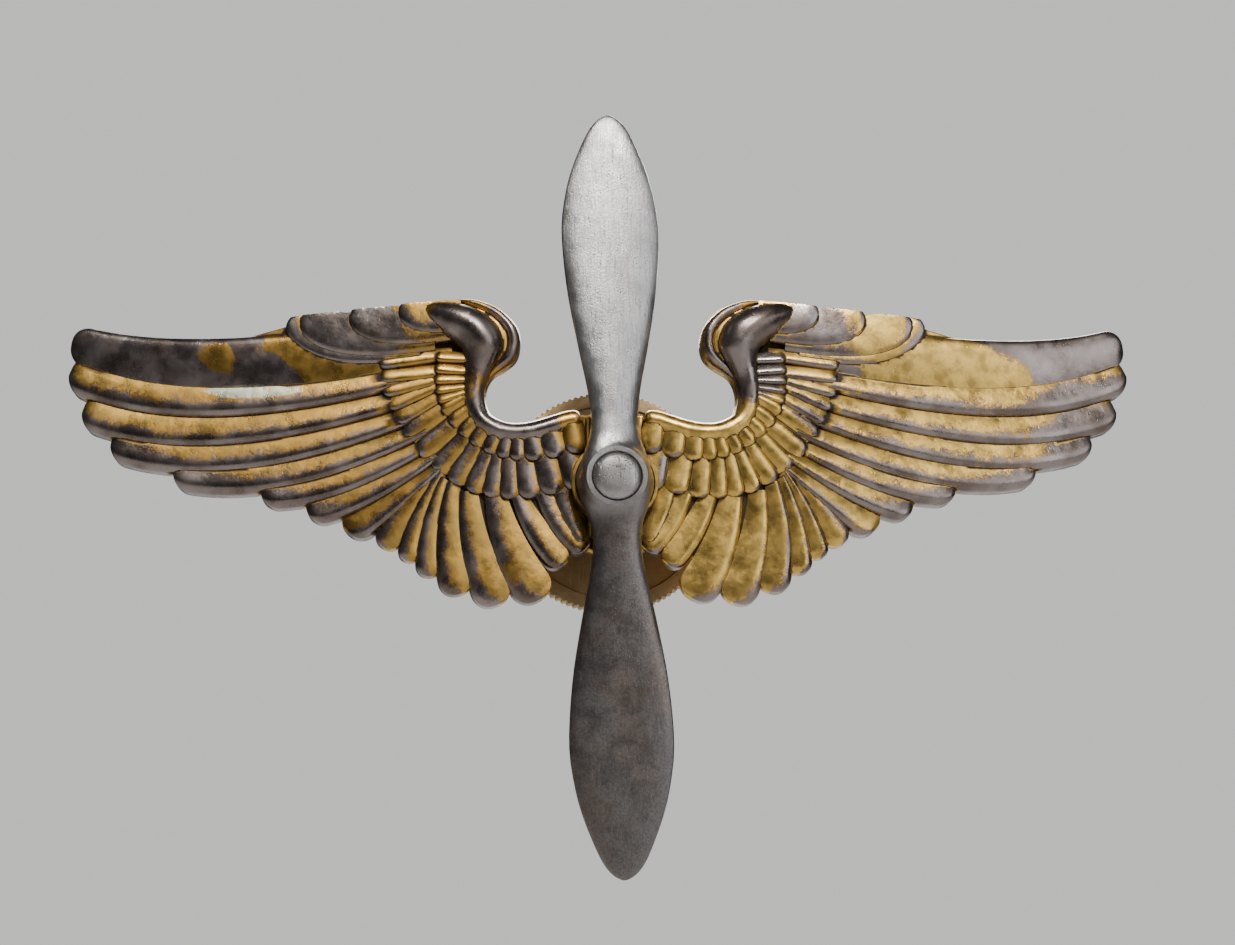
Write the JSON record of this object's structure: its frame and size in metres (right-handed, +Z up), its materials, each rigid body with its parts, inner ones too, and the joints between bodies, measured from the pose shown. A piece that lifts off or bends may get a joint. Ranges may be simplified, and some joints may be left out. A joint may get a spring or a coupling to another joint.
{
  "type": "winged propeller cap badge",
  "caption": "Screw-back cap badge: a silver two-bladed propeller over gilded struck wings, with a screw post, prongs and a knurled disc nut.",
  "frame": {"origin": "on the axis of the screw post, in the plane where the collar seats on the cap", "axes": "+X to the viewer's right, +Y along the post towards its threaded end (the badge's back), +Z up the propeller"},
  "size_m": [0.076, 0.0145, 0.054],
  "materials": {
    "worn_gilt": "gilding worn through to grey metal on the high feathers, dark in the grooves",
    "old_silver": "silver, rubbed bright above the hub and tarnished dark below it",
    "post_metal": "peened, pitted nickel silver",
    "back_brass": "dull gilt with solder at its edge",
    "nut_brass": "matte tan brass with a fine straight knurl",
    "bushing_brass": "turned brass"
  },
  "bodies": {
    "badge": {"wing_plate": "worn_gilt", "propeller": "old_silver", "screw_post": "post_metal", "post_collar": "back_brass", "left_prong": "back_brass", "right_prong": "back_brass"},
    "bushing": {"nut_bushing": "bushing_brass"},
    "nut": {"nut_disc": "nut_brass"}
  },
  "joints": [
    {"name": "nut_travel", "type": "slide", "parent": "badge", "child": "bushing", "axis": [0, 1, 0], "range_m": [-0.0026, 0.0072]},
    {"name": "nut_spin", "type": "hinge", "parent": "bushing", "child": "nut", "pos_m": [0, 0, 0], "axis": [0, 1, 0], "range_deg": [-1185, 3270]}
  ],
  "couplings": [
    {"joint": "nut_spin", "follows": "nut_travel", "rad_per_m": 7915.8}
  ]
}
